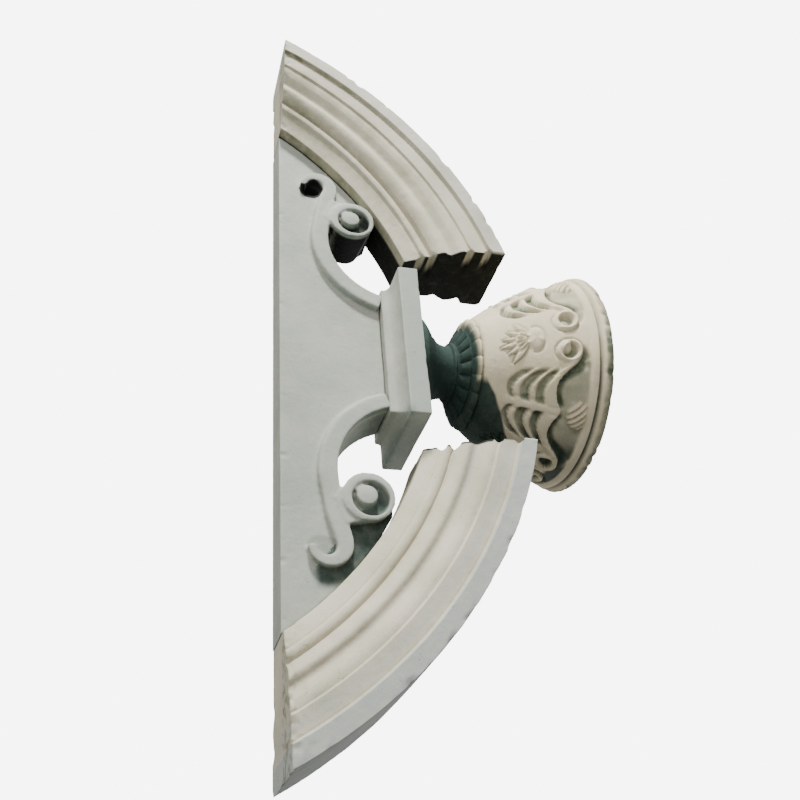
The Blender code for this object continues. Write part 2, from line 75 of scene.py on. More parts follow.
# Places that follow from the sizes
ARC_RADIUS = ((SPAN / 2) ** 2 + RISE ** 2) / (2 * RISE)
ARC_Z = RISE - ARC_RADIUS
WIDTH = FASCIA + BAND + CYMA + BEAD + INNER + 4 * QUIRK
SOFFIT = ARC_RADIUS - WIDTH
END_X = END_GAP / 2
C_X = DIE_HALF + sqrt(C_RADIUS ** 2 - (C_Z - DIE_TOP) ** 2)
SHOULDER_Z = VOLUTE_Z + VOLUTE_RADIUS
VOLUTE_X = sqrt(SOFFIT ** 2 - (SHOULDER_Z - ARC_Z) ** 2) - SHOULDER
CURL_X = sqrt(SOFFIT ** 2 - (CURL_Z - ARC_Z) ** 2) - CURL_TO_CORNICE
EYE_X, EYE_Z = CURL_X - CURL_RADIUS * 0.19, CURL_Z - CURL_RADIUS * 0.39
PANEL_Y = FRONT_Y + PANEL_BACK
SCROLL_Y = PANEL_Y - SCROLL_RAISE
REAR_Y = FRONT_Y + DEPTH
CAP_Z = DIE_TOP + CLEARANCE
CAP_TOP = CAP_Z + CAP_FILLET + CAP_HOLLOW + CAP_FASCIA
URN_Z = CAP_TOP + CLEARANCE


# Shaping helpers

def ease(low, high, value):
    share = np.clip((value - low) / (high - low), 0, 1)
    return share * share * (3 - 2 * share)


def hump(value, centre, width):
    return np.exp(-((value - centre) / width) ** 2)


def noise(points, size, seed):
    # Soft random values from -1 to 1, which change over about one size
    place = points / size + seed * 17.31
    cell = np.floor(place).astype(np.int64)
    part = place - cell
    part = part * part * (3 - 2 * part)
    total = np.zeros(len(points))
    for corner in range(8):
        step = np.array([corner & 1, corner >> 1 & 1, corner >> 2 & 1])
        key = (cell + step) @ np.array([73856093, 19349663, 83492791])
        key = (key ^ (key >> 13)) * 1274126177
        key = (key ^ (key >> 15)) * 668265263
        value = ((key >> 16) & 0xFFFF) / 32767.5 - 1
        total += value * np.prod(np.where(step, part, 1 - part), axis=1)
    return total


def nibbles(points, size, seed, spared):
    # Scattered bites, from 0 to 1: the more is spared, the fewer there are
    return np.clip(noise(points, size, seed) - spared, 0, 1)


def weld(patches):
    # Grids of points (rows, columns, 3) become one skin, joined where their edges meet
    points, faces, start = [], [], 0
    for grid in patches:
        rows, columns = grid.shape[:2]
        index = start + np.arange(rows * columns).reshape(rows, columns)
        corners = [index[:-1, :-1], index[1:, :-1], index[1:, 1:], index[:-1, 1:]]
        faces.append(np.stack(corners, -1).reshape(-1, 4))
        points.append(grid.reshape(-1, 3))
        start += rows * columns
    points = np.concatenate(points)
    faces = np.concatenate(faces)
    _, first, back = np.unique(np.round(points, 6), axis=0, return_index=True, return_inverse=True)
    return points[first], back.reshape(-1)[faces]


def show(name, mesh):
    thing = bpy.data.objects.new(name, mesh)
    bpy.context.scene.collection.objects.link(thing)
    return thing


def skin(name, points, faces):
    mesh = bpy.data.meshes.new(name)
    mesh.from_pydata(points.tolist(), [], [list(dict.fromkeys(face)) for face in faces.tolist()])
    data = bmesh.new()
    data.from_mesh(mesh)
    bmesh.ops.recalc_face_normals(data, faces=data.faces)
    data.to_mesh(mesh)
    data.free()
    mesh.shade_smooth()
    return show(name, mesh)


def slab(name, outline, front, rear):
    # A flat block of stone with the outline's (x, z) corners
    data = bmesh.new()
    near = [data.verts.new((x, front, z)) for x, z in outline]
    far = [data.verts.new((x, rear, z)) for x, z in outline]
    data.faces.new(near)
    data.faces.new(far[::-1])
    for i in range(len(outline)):
        j = (i + 1) % len(outline)
        data.faces.new((near[i], far[i], far[j], near[j]))
    bmesh.ops.recalc_face_normals(data, faces=data.faces)
    mesh = bpy.data.meshes.new(name)
    data.to_mesh(mesh)
    data.free()
    return show(name, mesh)


def close_ends(thing):
    data = bmesh.new()
    data.from_mesh(thing.data)
    bmesh.ops.holes_fill(data, edges=[e for e in data.edges if e.is_boundary], sides=0)
    bmesh.ops.recalc_face_normals(data, faces=data.faces)
    data.to_mesh(thing.data)
    data.free()


def read(thing, what):
    flat = np.empty(len(thing.data.vertices) * 3)
    thing.data.vertices.foreach_get(what, flat)
    return flat.reshape(-1, 3)


def reshape(thing, points):
    thing.data.vertices.foreach_set("co", points.ravel())
    thing.data.update()


def paint(thing, name, values):
    layer = thing.data.attributes.new(name, "FLOAT", "POINT")
    layer.data.foreach_set("value", np.clip(values, 0, 1).astype(np.float32))


def weather(thing, seed, fine=0.0003, broad=0.0006, extra=0.0):
    # Rain-worn skin: every point goes inwards a little, and flat cut beds stay flat
    points, normals = read(thing, "co"), read(thing, "normal")
    small, large = noise(points, 0.006, seed), noise(points, 0.045, seed + 1)
    dent = fine * (1 + small) + broad * (1 + large) + extra
    moved = points - normals * dent[:, None]
    bed = points[:, 2] < 0.0002
    moved[bed, 2] = 0.0
    reshape(thing, moved)


def finish(thing, node, material):
    thing.data.materials.append(material)
    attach(thing, "root")
    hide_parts(node)


# Cornices

MEMBERS = np.cumsum([FASCIA, QUIRK, BAND, QUIRK, CYMA, QUIRK, BEAD, QUIRK, INNER])
QUIRKS = MEMBERS[:-1:2]               # where each quirk starts, in from the outer edge
CYMA_LINE = [(0, CYMA_BACK), (0.12, 0.0148), (0.25, 0.0190), (0.38, 0.0275), (0.47, 0.0332),
             (0.55, 0.0322), (0.63, 0.0285), (0.71, 0.0275), (0.81, 0.0305), (0.91, 0.0365),
             (1, CYMA_FOOT_BACK)]


def moulding(inset):
    # How far the worn moulding lies behind the cornice's front, by distance from the outer edge
    fascia, band_in, band, cyma_in, _, bead_in, bead, inner_in, arris = MEMBERS
    nick, blur, bead_stand = 0.0015, 0.0012, 0.0055
    corners = [(0, 0), (fascia, 0), (band_in - 0.0008, BAND_BACK + nick),
               (band_in + 0.0008, BAND_BACK), (band, BAND_BACK), (cyma_in - 0.0008, CYMA_BACK + nick)]
    corners += [(cyma_in + CYMA * share, back) for share, back in CYMA_LINE]
    corners += [(bead_in - 0.001, BEAD_BACK + nick), (bead_in, BEAD_BACK), (bead, BEAD_BACK),
                (inner_in - 0.001, INNER_BACK + nick), (inner_in, INNER_BACK), (arris, INNER_ARRIS)]
    across, back = zip(*corners)
    shifted = [np.interp(inset + shift, across, back) for shift in np.linspace(-blur, blur, 7)]
    depth = np.mean(shifted, axis=0)
    roll = np.clip(1 - ((inset - (bead_in + bead) / 2) / (BEAD / 2)) ** 2, 0, 1)
    depth -= bead_stand * np.sqrt(roll)
    for from_edge in (inset, arris - inset):
        gap = np.clip(1 - from_edge / ARRIS, 0, 1)
        depth += ARRIS * (1 - np.sqrt(1 - gap ** 2))
    return depth


def rear_moulding(inset):
    # The plainer back: a fillet, then two shallow scallops with a roll between them
    depth = DEPTH - BACK_SET_IN * ease(BACK_FILLET - 0.002, BACK_FILLET + 0.003, inset)
    depth -= 0.008 * hump(inset, 0.061, 0.008) + 0.009 * hump(inset, 0.118, 0.010)
    depth += 0.006 * hump(inset, 0.090, 0.012)
    depth -= 0.009 * np.clip(1 - inset / 0.014, 0, 1) ** 2
    return depth - ARRIS * (inset < 1e-6) - ARRIS * (inset > WIDTH - 1e-6)


def cornice_skin(side):
    steps, layers = 168, 24
    walls = np.concatenate([quirk + np.linspace(-0.0015, 0.0055, 8) for quirk in QUIRKS])
    edges = np.array([0.0004, 0.0009, 0.0016, 0.0025])
    lines = np.concatenate([np.linspace(0, WIDTH, 72), walls, edges, WIDTH - edges])
    inset = np.unique(np.round(lines, 5))
    radius = ARC_RADIUS - inset
    upper, foot = np.arcsin(END_X / radius), np.arccos(-ARC_Z / radius)
    turn = upper + (foot - upper) * np.linspace(0, 1, steps)[:, None]
    x, z = side * radius * np.sin(turn), ARC_Z + radius * np.cos(turn)
    z[-1] = 0.0
    near = np.stack([x, np.broadcast_to(FRONT_Y + moulding(inset), x.shape), z], -1)
    far = np.stack([x, np.broadcast_to(FRONT_Y + rear_moulding(inset), x.shape), z], -1)
    shares = np.linspace(0, 1, layers)[:, None, None]

    def between(a, b):
        return a + (b - a) * shares

    patches = [near, far, between(near[:, 0], far[:, 0]), between(near[:, -1], far[:, -1]),
               between(near[0], far[0]), between(near[-1], far[-1])]
    return skin("cornice_right" if side > 0 else "cornice_left", *weld(patches))


def end_flutes(inset, depth):
    # Quirks run back across the cut end as short flutes that die away
    flute = np.zeros(len(inset))
    for quirk in QUIRKS + QUIRK / 2:
        width = np.clip(1 - ((inset - quirk) / FLUTE_HALF) ** 2, 0, 1)
        reach = np.clip(1 - (depth - moulding(np.array([quirk]))) / FLUTE_LENGTH, 0, 1)
        flute = np.maximum(flute, FLUTE_DEPTH * np.sqrt(width) * reach)
    return flute


def paint_cornice_dirt_and_shade(thing, side, inset, depth, from_end, flute):
    # Olive dirt lies in the quirks, with painted shade added in the left cornice's quirks and on the
    # soffits, most of all low down
    points = read(thing, "co")
    low = 1 - points[:, 2] / 0.5
    front = depth < 0.09
    quirk_dirt_and_shade = np.zeros(len(points))
    for quirk, strength in zip(QUIRKS + QUIRK * 0.6, (1.0, 0.55, 0.65, 0.5)):
        soft = 0.0042 + 0.010 * (strength < 1.0) * (0.5 + low)
        quirk_dirt_and_shade = np.maximum(quirk_dirt_and_shade, strength * hump(inset, quirk, soft))
    quirk_dirt_and_shade *= (0.10 + 1.0 * low ** 1.5) if side < 0 else 0.10 + 0.25 * low ** 3
    quirk_dirt_and_shade *= front
    patch = 0.5 + 0.5 * noise(points, 0.05, 5)
    quirk_dirt_and_shade = quirk_dirt_and_shade * (0.65 + 0.5 * patch)
    # A faint olive wash of dirt and painted shade spreads from the hollows, near the left foot above all
    hollows = hump(inset, 0.047, 0.014) + hump(inset, 0.116, 0.017) + 0.8 * hump(inset, 0.158, 0.010)
    quirk_dirt_and_shade = np.maximum(quirk_dirt_and_shade, (0.34 if side < 0 else 0.10) * low ** 1.6 * hollows * front)
    under = inset > WIDTH - 0.0012
    soffit_shade = under * (0.25 + 0.60 * low ** 1.5)
    specks = np.exp(-points[:, 2] / 0.016) * ease(0.1, 0.5, noise(points, 0.008, 9))
    paint(thing, "dirt_and_shade", np.maximum.reduce([quirk_dirt_and_shade, soffit_shade, 0.7 * specks * front]))

    # Painted shade blackens the cut end, except on its flutes, which stay light as if lit, and darkens
    # the soffit behind the panel's front
    hidden_soffit_shade = under * ease(PANEL_BACK - 0.004, PANEL_BACK + 0.004, depth) * (1.0 if side < 0 else 0.4)
    lit = np.clip(flute / 0.0045, 0, 1) * ease(0.055, 0.015, depth - moulding(inset))
    end = (from_end < 0.004 + flute * 0.3) * (1.0 - 0.85 * lit)
    paint(thing, "painted_shade", np.maximum(end * (depth > 0.004), hidden_soffit_shade))

    # The fascia and, more faintly, the band are a cooler grey, and the cyma's hollow gets a painted
    # blue-grey shade, stronger higher up; all of it is weaker on the left cornice
    cool_tone_and_painted_light = ease(FASCIA + 0.004, FASCIA - 0.002, inset) + 0.5 * hump(inset, 0.058, 0.014)
    cool_tone_and_painted_light += 1.1 * hump(inset, 0.119, 0.009) * ease(0.45, 0.05, low)
    paint(thing, "cool_tone_and_painted_light", cool_tone_and_painted_light * (1.0 if side > 0 else 0.45))


def cornice(side):
    thing = cornice_skin(side)
    points = read(thing, "co")
    inset = ARC_RADIUS - np.hypot(points[:, 0], points[:, 2] - ARC_Z)
    depth = points[:, 1] - FRONT_Y
    from_end = np.abs(points[:, 0]) - END_X
    flute = end_flutes(inset, depth)
    points[:, 0] += side * flute * np.clip(1 - from_end / 0.020, 0, 1)
    reshape(thing, points)

    # Chips on the outer arris, at the ragged foot and on the cut end
    edge = np.exp(-(np.hypot(inset, depth) / 0.007) ** 2) * nibbles(points, 0.022, 3 + side, 0.25)
    foot = np.exp(-points[:, 2] / 0.010) * nibbles(points, 0.012, 8 + side, 0.15)
    cut = np.exp(-(from_end / 0.006) ** 2) * nibbles(points, 0.017, 14, 0.3)
    weather(thing, 21 + side, extra=0.007 * edge + 0.006 * foot + 0.004 * cut)
    paint_cornice_dirt_and_shade(thing, side, inset, depth, from_end, flute)
    return thing


# Panel

def arc(centre_x, centre_z, radius, start, end, steps):
    turn = np.linspace(start, end, steps + 1)
    return [(centre_x + radius * cos(t), centre_z + radius * sin(t)) for t in turn]


def c_start(radius):
    # Where a circle round the C-scroll's middle passes the top of the die
    return pi + asin((C_Z - DIE_TOP) / radius)


def panel_outline():
    edge = SOFFIT - CLEARANCE
    foot = atan2(-ARC_Z, sqrt(edge ** 2 - ARC_Z ** 2))
    right = arc(0, ARC_Z, edge, foot, asin((SHOULDER_Z - ARC_Z) / edge), 60)
    right.append((VOLUTE_X, SHOULDER_Z))
    right += arc(VOLUTE_X, VOLUTE_Z, VOLUTE_RADIUS - DRUM_SLIM, radians(110), radians(225), 20)
    drop = asin((C_Z - right[-1][1]) / C_RADIUS)
    start = -drop if right[-1][0] > C_X else drop - pi
    right += arc(C_X, C_Z, C_RADIUS, start, c_start(C_RADIUS) - 2 * pi, 48)
    return right + [(-x, z) for x, z in reversed(right)]


def scroll_line():
    # The middle line and the width of the ribbon: round the C, up its rise and round the curl
    c_steps, curl_steps, even_steps, rounds = 36, 21, 110, 10
    start, end = c_start(C_RADIUS + C_WIDTH / 2), radians(278)
    middle = arc(C_X, C_Z, C_RADIUS + 0.001 + C_WIDTH / 2, start, end, c_steps)
    width = [C_WIDTH] * (c_steps + 1)
    middle.append(((middle[-1][0] + CURL_X) / 2, CURL_Z + CURL_RADIUS * 0.42))
    width.append(C_WIDTH * 0.95)
    for i in range(curl_steps + 1):
        turn = radians(112 - 205 * i / curl_steps)
        middle.append((CURL_X + CURL_RADIUS * cos(turn), CURL_Z + CURL_RADIUS * sin(turn)))
        width.append(C_WIDTH * (0.92 - 0.42 * i / curl_steps))
    middle, width = np.array(middle), np.array(width)
    along = np.concatenate([[0], np.cumsum(np.hypot(*np.diff(middle, axis=0).T))])
    even = np.linspace(0, along[-1], even_steps)
    line = np.stack([np.interp(even, along, middle[:, 0]), np.interp(even, along, middle[:, 1])], 1)
    for _ in range(rounds):
        line[1:-1] = (line[:-2] + 2 * line[1:-1] + line[2:]) / 4
    return line, np.interp(even, along, width)


def scroll_band(side):
    # A flat-faced ribbon with a rounded wall on its lower side
    line, width = scroll_line()
    run = np.gradient(line, axis=0)
    run /= np.hypot(run[:, 0], run[:, 1])[:, None]
    inward = np.stack([-run[:, 1], run[:, 0]], 1)
    front, deep = SCROLL_Y, PANEL_Y + 0.010
    section = [(0.5, 0, deep), (0.5, 0, front + 0.0015), (0.5, -0.0015, front), (-0.5, 0.0095, front),
               (-0.5, 0.0060, front + 0.0012), (-0.5, 0.0030, front + 0.0045),
               (-0.5, 0.0008, front + 0.0110), (-0.5, 0, deep)]
    rings = []
    for share, off, y in section:
        place = line + inward * (width * share + off)[:, None]
        rings.append(np.stack([side * place[:, 0], np.full(len(line), y), place[:, 1]], 1))
    rings.append(rings[0])
    thing = skin("band", *weld([np.array(rings)]))
    close_ends(thing)
    return thing


def from_rings(x, z):
    # Distances from the middle of a volute's round recess and from the middle of the boss in it
    return np.hypot(x - RECESS_OFF[0], z - RECESS_OFF[1]), np.hypot(x - BOSS_OFF[0], z - BOSS_OFF[1])


def volute(side):
    # A drum whose face is a ring and a boss, with a crescent hollow between them
    turns, rings, layers, taper = 96, 40, 30, 0.26
    front = PANEL_Y - VOLUTE_RAISE
    share = np.linspace(0, 1, rings)[:, None]
    turn = np.linspace(0, 2 * pi, turns + 1)[None]
    x = VOLUTE_RADIUS * share * np.cos(turn)
    z = VOLUTE_RADIUS * share * np.sin(turn)
    recess, boss = from_rings(x, z)
    crescent = ease(RECESS_RADIUS, RECESS_RADIUS - 0.003, recess)
    crescent *= ease(BOSS_RADIUS, BOSS_RADIUS + 0.0025, boss)
    y = front + RECESS_DEPTH * crescent + 0.0022 * ease(0.040, VOLUTE_RADIUS, np.hypot(x, z)) ** 2
    y = y + 0.0030 * (boss / 0.0225) ** 2 * (boss < 0.0225)
    face = np.stack([side * VOLUTE_X + x, y, VOLUTE_Z + z], -1)
    hub = np.array([side * VOLUTE_X, REAR_Y - 0.004, VOLUTE_Z])
    middle = hub * [1, 0, 1]
    wall = []
    for k in np.linspace(0, 1, layers):
        slim = 1 - taper * k
        wall.append(middle + (face[-1] - middle) * [slim, 1 - k, slim] + hub * [0, k, 0])
    rear = [wall[-1] * (1 - k) + hub * k for k in np.linspace(0, 1, 6)]
    return skin("volute", *weld([face, np.array(wall), np.array(rear)]))


def web(side):
    # The neck of plain stone that joins the volute's ring to the ribbon below it
    inside = 0.87                     # it ends within the ring, clear of the hollow
    shape = [(0.99, -0.10), (1.04, -0.45), (1.10, -0.85), (0.10, -1.25), (-0.45, -0.90)]
    shape += [(inside * cos(t), inside * sin(t)) for t in np.radians(np.linspace(-117, -6, 12))]
    corners = [(side * (VOLUTE_X + VOLUTE_RADIUS * a), VOLUTE_Z + VOLUTE_RADIUS * b) for a, b in shape]
    return slab("web", corners, SCROLL_Y - 0.002, PANEL_Y + 0.010)


def curl_eye(side, depth):
    turns = np.linspace(0, 2 * pi, 25)[:-1]
    shape = [(side * (EYE_X + EYE_ACROSS * cos(t)), EYE_Z + EYE_UP * sin(t)) for t in turns]
    return slab("curl eye", shape, SCROLL_Y - 0.02, SCROLL_Y + depth)


def panel_skin():
    # Slab, ribbons and volutes become one stone, and then the eyes are drilled
    thing = slab("panel_carved", panel_outline(), PANEL_Y, REAR_Y)
    parts = [thing]
    for side in (1, -1):
        parts += [scroll_band(side), volute(side), web(side)]
    with bpy.context.temp_override(active_object=thing, object=thing, selected_objects=parts,
                                   selected_editable_objects=parts):
        bpy.ops.object.join()
    remesh = thing.modifiers.new("One stone", "REMESH")
    remesh.mode = "VOXEL"
    remesh.voxel_size = STONE_CELL
    holes = [curl_eye(1, RIGHT_EYE_DEPTH), curl_eye(-1, LEFT_EYE_DEPTH)]
    for hole in holes:
        cut = thing.modifiers.new("Drilled eye", "BOOLEAN")
        cut.operation = "DIFFERENCE"
        cut.solver = "EXACT"
        cut.object = hole
    smooth = thing.modifiers.new("Worn edges", "SMOOTH")
    smooth.factor = 0.5
    smooth.iterations = 2
    ready = thing.evaluated_get(bpy.context.evaluated_depsgraph_get())
    mesh = bpy.data.meshes.new_from_object(ready)
    thing.modifiers.clear()
    thing.data = mesh
    for hole in holes:
        bpy.data.objects.remove(hole, do_unlink=True)
    mesh.shade_smooth()
    return thing


def eye_shade(x, z, back):
    # Painted shade in the curl eyes: black in the deep left eye, only grey in the right one
    eyes = np.zeros(len(x))
    for side, black in ((1, 0.25), (-1, 1.0)):
        near = np.hypot((x - side * EYE_X - side * 0.004) / 0.0235, (z - EYE_Z) / 0.0260)
        deep = ease(1.12, 0.98, near) * ease(-0.0178, -0.0150, back)
        eyes = np.maximum(eyes, deep * (back < 0.06) * black)
    return eyes


def crescent_shadows(x, z, back):
    # Painted shadow in the upper right part of the hollow in each volute, where the boss casts it
    sunk = np.zeros(len(x))
    for side in (1, -1):
        across, up = x - side * VOLUTE_X, z - VOLUTE_Z
        recess, boss = from_rings(across, up)
        ring = ease(RECESS_RADIUS + 0.0025, RECESS_RADIUS - 0.0015, recess)
        ring *= ease(BOSS_RADIUS, BOSS_RADIUS + 0.002, boss)
        ring *= ease(-0.0225, -0.016, back) * (back < 0)
        sunk = np.maximum(sunk, ring * ease(-0.020, 0.020, across + up))
    return sunk


def shadow_right_of_volute(x, z, back):
    # Painted shadow of the right volute and its curl on the ground to their right, by distance from the
    # line between them
    run = np.array([CURL_X - VOLUTE_X, CURL_Z - VOLUTE_Z])
    place = np.stack([x - VOLUTE_X - 0.010, z - VOLUTE_Z], 1)
    along = np.clip(place @ run / (run @ run), 0, 1)
    apart = np.hypot(*(place - along[:, None] * run).T)
    outer = place @ [-run[1], run[0]] > 0
    ground = ease(-0.016, -0.002, back) * (back < 0.004)
    return ease(0.082, 0.052, apart) * outer * ground * ease(0.055, 0.075, z)


def paint_panel_shade_and_light(thing):
    # Painted shade and shadow: in the eyes and the volutes' crescents, on the right cheeks of the bands,
    # the gaps' walls and the left drum's side, which face away from the light, and right of the right
    # volute
    points, normals = read(thing, "co"), read(thing, "normal")
    x, z, back = points[:, 0], points[:, 2], points[:, 1] - PANEL_Y
    facing_right = normals[:, 0]
    sunk, volute_shadow = crescent_shadows(x, z, back), shadow_right_of_volute(x, z, back)
    cheek = ease(0.35, 0.8, facing_right) * ease(-0.001, -0.006, back)
    gap = (back > 0.004) * (np.abs(normals[:, 1]) < 0.5) * (z > 0.01) * ease(0.2, 0.8, facing_right)
    paint(thing, "dirt_and_shade", np.maximum.reduce([0.55 * cheek, 0.5 * gap, 0.6 * sunk, 0.95 * volute_shadow]))
    drum = ease(0.3, 0.8, facing_right) * (np.hypot(x + VOLUTE_X, z - VOLUTE_Z) < VOLUTE_RADIUS + 0.003)
    dark = np.maximum(sunk * (0.7 * (x < 0) + 0.15), 0.62 * volute_shadow ** 2)
    black = [eye_shade(x, z, back), dark, drum * ease(-0.016, -0.008, back)]
    paint(thing, "painted_shade", np.maximum.reduce(black))
    # Faces that point down, within the scrolls' reach, are painted warmer and lighter, as if lit from
    # below
    lit_lower_faces = ease(-0.2, -0.7, normals[:, 2]) * ease(0.0, -0.002, back) * (np.abs(x) < CURL_X + 0.06)
    paint(thing, "cool_tone_and_painted_light", 0.35 - 0.35 * lit_lower_faces)


def panel():
    thing = panel_skin()
    points = read(thing, "co")
    points[:, 2] = np.where(points[:, 2] < 0.0015, 0.0, points[:, 2])
    reshape(thing, points)
    foot = np.exp(-points[:, 2] / 0.009) * nibbles(points, 0.014, 31, 0.2)
    weather(thing, 41, fine=0.00025, broad=0.0005, extra=0.005 * foot)
    paint_panel_shade_and_light(thing)
    return thing


# Cap

HOLLOW_Z = CAP_Z + CAP_FILLET
FASCIA_Z = HOLLOW_Z + CAP_HOLLOW


def cap_levels():
    # The worn moulding from below: share of the overhang, and height
    fillet = CAP_FILLET_OUT / CAP_OVERHANG
    levels = [(fillet - 0.03, CAP_Z), (fillet, CAP_Z + 0.0022), (fillet, HOLLOW_Z - 0.0015),
              (fillet + 0.015, HOLLOW_Z)]
    for turn in np.linspace(0, pi / 2, 16):
        levels.append((fillet + 0.02 + (0.955 - fillet) * (1 - cos(turn)) ** 0.85,
                       HOLLOW_Z + 0.001 + (CAP_HOLLOW - 0.003) * sin(turn)))
    levels += [(0.985, FASCIA_Z - 0.0012), (1.0, FASCIA_Z + 0.001)]
    levels += [(1.0, z) for z in np.linspace(FASCIA_Z + 0.005, CAP_TOP - 0.004, 9)]
    return levels + [(0.998, CAP_TOP - 0.002), (0.990, CAP_TOP - 0.0006), (0.97, CAP_TOP)]


def cap_loop(share, z):
    # One level outline with rounded corners
    round_off, corner_steps = 0.003, 5
    x = DIE_HALF + (CAP_HALF - DIE_HALF) * share
    front, rear = PANEL_Y - CAP_OVERHANG * share, REAR_Y + CAP_OVERHANG * share
    loop = []
    for cx, cy, start in ((x, front, -90), (x, rear, 0), (-x, rear, 90), (-x, front, 180)):
        sx, sy = (1 if cx > 0 else -1), (1 if cy == rear else -1)
        for turn in radians(start) + np.linspace(0, pi / 2, corner_steps):
            loop.append((cx - sx * round_off + round_off * cos(turn),
                         cy - sy * round_off + round_off * sin(turn), z))
    return loop + loop[:1]


def cap_lid(loop, z):
    middle = np.array([0, (PANEL_Y + REAR_Y) / 2, z])
    return np.array([loop + (middle - loop) * k for k in np.linspace(0, 1, 18)])


def cap():
    rings = np.array([cap_loop(share, z) for share, z in cap_levels()])
    # More points along the straight sides, about 5 mm apart, so that they wear evenly
    columns = []
    for i in range(rings.shape[1] - 1):
        a, b = rings[:, i], rings[:, i + 1]
        count = max(1, int(round(np.linalg.norm(b[5] - a[5]) / 0.005)))
        columns += [a + (b - a) * k / count for k in range(count)]
    loops = np.stack(columns + [columns[0]], 1)
    lids = [cap_lid(loops[0], CAP_Z), cap_lid(loops[-1], CAP_TOP)]
    thing = skin("cap_moulded", *weld([loops] + lids))

    points = read(thing, "co")
    up = points[:, 2] - CAP_TOP
    corner = np.exp(-(np.hypot(np.abs(points[:, 0]) - CAP_HALF, up) / 0.012) ** 2)
    top = np.exp(-(np.hypot(points[:, 1] - PANEL_Y + CAP_OVERHANG, up) / 0.005) ** 2)
    chips = nibbles(points, 0.02, 51, 0.25) * (0.003 * corner + 0.0035 * top)
    weather(thing, 52, fine=0.0002, broad=0.0004, extra=chips)

    points = read(thing, "co")
    # Painted shade on the cap's right end round the hollow, the side away from the light
    right = ease(CAP_HALF - 0.03, CAP_HALF - 0.004, points[:, 0])
    paint(thing, "dirt_and_shade", right * hump(points[:, 2], HOLLOW_Z + 0.012, 0.016) * 0.7)
    paint(thing, "painted_shade", np.zeros(len(points)))
    # The fascia is painted a cooler grey and the hollow below it stays lighter, as if lit
    paint(thing, "cool_tone_and_painted_light", ease(FASCIA_Z - 0.002, FASCIA_Z + 0.002, points[:, 2]))
    return thing


# Urn: the carving of its bell, all in millimetres out from the ground, by turn in degrees and by height

# Degrees from a leaf's rib, and the heights there of the S-scroll's crest and of the cove over it
CREST = ([0, 2.6, 6, 9.2, 13, 17.2, 20.5, 23.5, 27.6, 31, 34, 37],
         [0.571, 0.570, 0.563, 0.560, 0.558, 0.561, 0.567, 0.575, 0.591, 0.601, 0.605, 0.604])
COVE = ([0, 4, 8, 11.7, 15, 18, 22, 25, 28, 32, 38],
        [0.582, 0.580, 0.574, 0.571, 0.573, 0.580, 0.600, 0.612, 0.619, 0.619, 0.613])
# The same for the lower edges of the leaf's four overlapping lobes
LOBE_EDGES = [([3.3, 10.1, 16.7, 22.2, 26.0], [0.541, 0.536, 0.544, 0.558, 0.580]),
              ([3.0, 8.5, 15.7, 21.8, 26.0], [0.514, 0.510, 0.514, 0.533, 0.554]),
              ([3.4, 8.2, 17.0, 22.4, 26.0], [0.484, 0.479, 0.487, 0.506, 0.524]),
              ([2.4, 6.0, 14.9, 22.7, 26.0], [0.474, 0.468, 0.466, 0.482, 0.498])]
VOLUTE_TURN, URN_VOLUTE_Z = 35.3, 0.580
BUD_Z, BUD_HALF_WIDTH, BUD_HALF_HEIGHT, BUD_RIB = 0.6085, 0.031, 0.0230, 0.0100
SHELL_Z, SHELL_HALF_WIDTH, SHELL_HALF_HEIGHT, FAN_Z = 0.5185, 0.0255, 0.0165, 0.5070
FAN = ((-64, 0.055), (-38, 0.051), (-12, 0.052), (13, 0.056), (38, 0.052), (60, 0.062))


def sunk_ground(away, z, crest):
    # Ground sunk between the scrolls, and the deep cove over each crest
    cove = np.interp(away, *COVE)
    sunk = ease(0.0, 0.004, z - crest) * ease(0.6245, 0.6205, z)
    part = (z - crest) / np.maximum(cove - crest, 0.004)
    trough = np.where(part < 0.35, ease(-0.05, 0.35, part), ease(1.25, 0.45, part))
    return -5.0 * sunk * ease(30, 26, away) - 11.0 * trough * ease(39, 33, away) * ease(1.0, 4.0, away)


def leaf(away, z, crest):
    # Overlapping lobes, each with a broad rolled lip and a shadow line under it
    upper = crest
    carved = np.zeros(len(z))
    for number, (places, levels) in enumerate(LOBE_EDGES):
        lower = np.polyval(np.polyfit(places, levels, 3), away)
        t = (upper - z) / np.maximum(upper - lower, 0.003)
        within = (t > 0) & (t <= 1)
        if number == 0:
            rise = 5.5 * np.sqrt(np.clip(1 - ((t - 0.42) / 0.62) ** 2, 0, 1)) - 1.0
        elif number < 3:
            rise = -9.0 + 12.5 * ease(0.28, 0.76, t) - 3.0 * np.clip((t - 0.76) / 0.24, 0, 1) ** 2
            rise = rise - 2.0 * hump(t, 0.0, 0.12)
            rise = rise - 3.0 * hump(away, 4.2, 1.7) - 2.5 * hump(away, 21.5, 2.4)
        else:
            rise = -9.0 + 9.0 * ease(0.20, 1.0, t)
        carved = np.where(within, rise, carved)
        upper = lower
    return carved * ease(1.8, 3.4, away) * ease(25.0, 22.6, away)


def leaf_rib(away, z):
    # The rib between the leaf's halves, wider at its foot
    half = 1.7 + 1.5 * ease(0.57, 0.47, z)
    rib = np.sqrt(np.clip(1 - (away / (half + 0.8)) ** 2, 0, 1))
    return 4.0 * rib * ease(0.462, 0.474, z) * ease(0.577, 0.568, z)


def scroll_end(away, z, crest):
    # The scroll's bare end, which rolls over into the volute
    off = (z - crest + 0.0065) / 1.15
    return np.sqrt(np.clip(1 - (off / 0.0085) ** 2, 0, 1)) * ease(19, 24, away) * ease(35, 32, away)


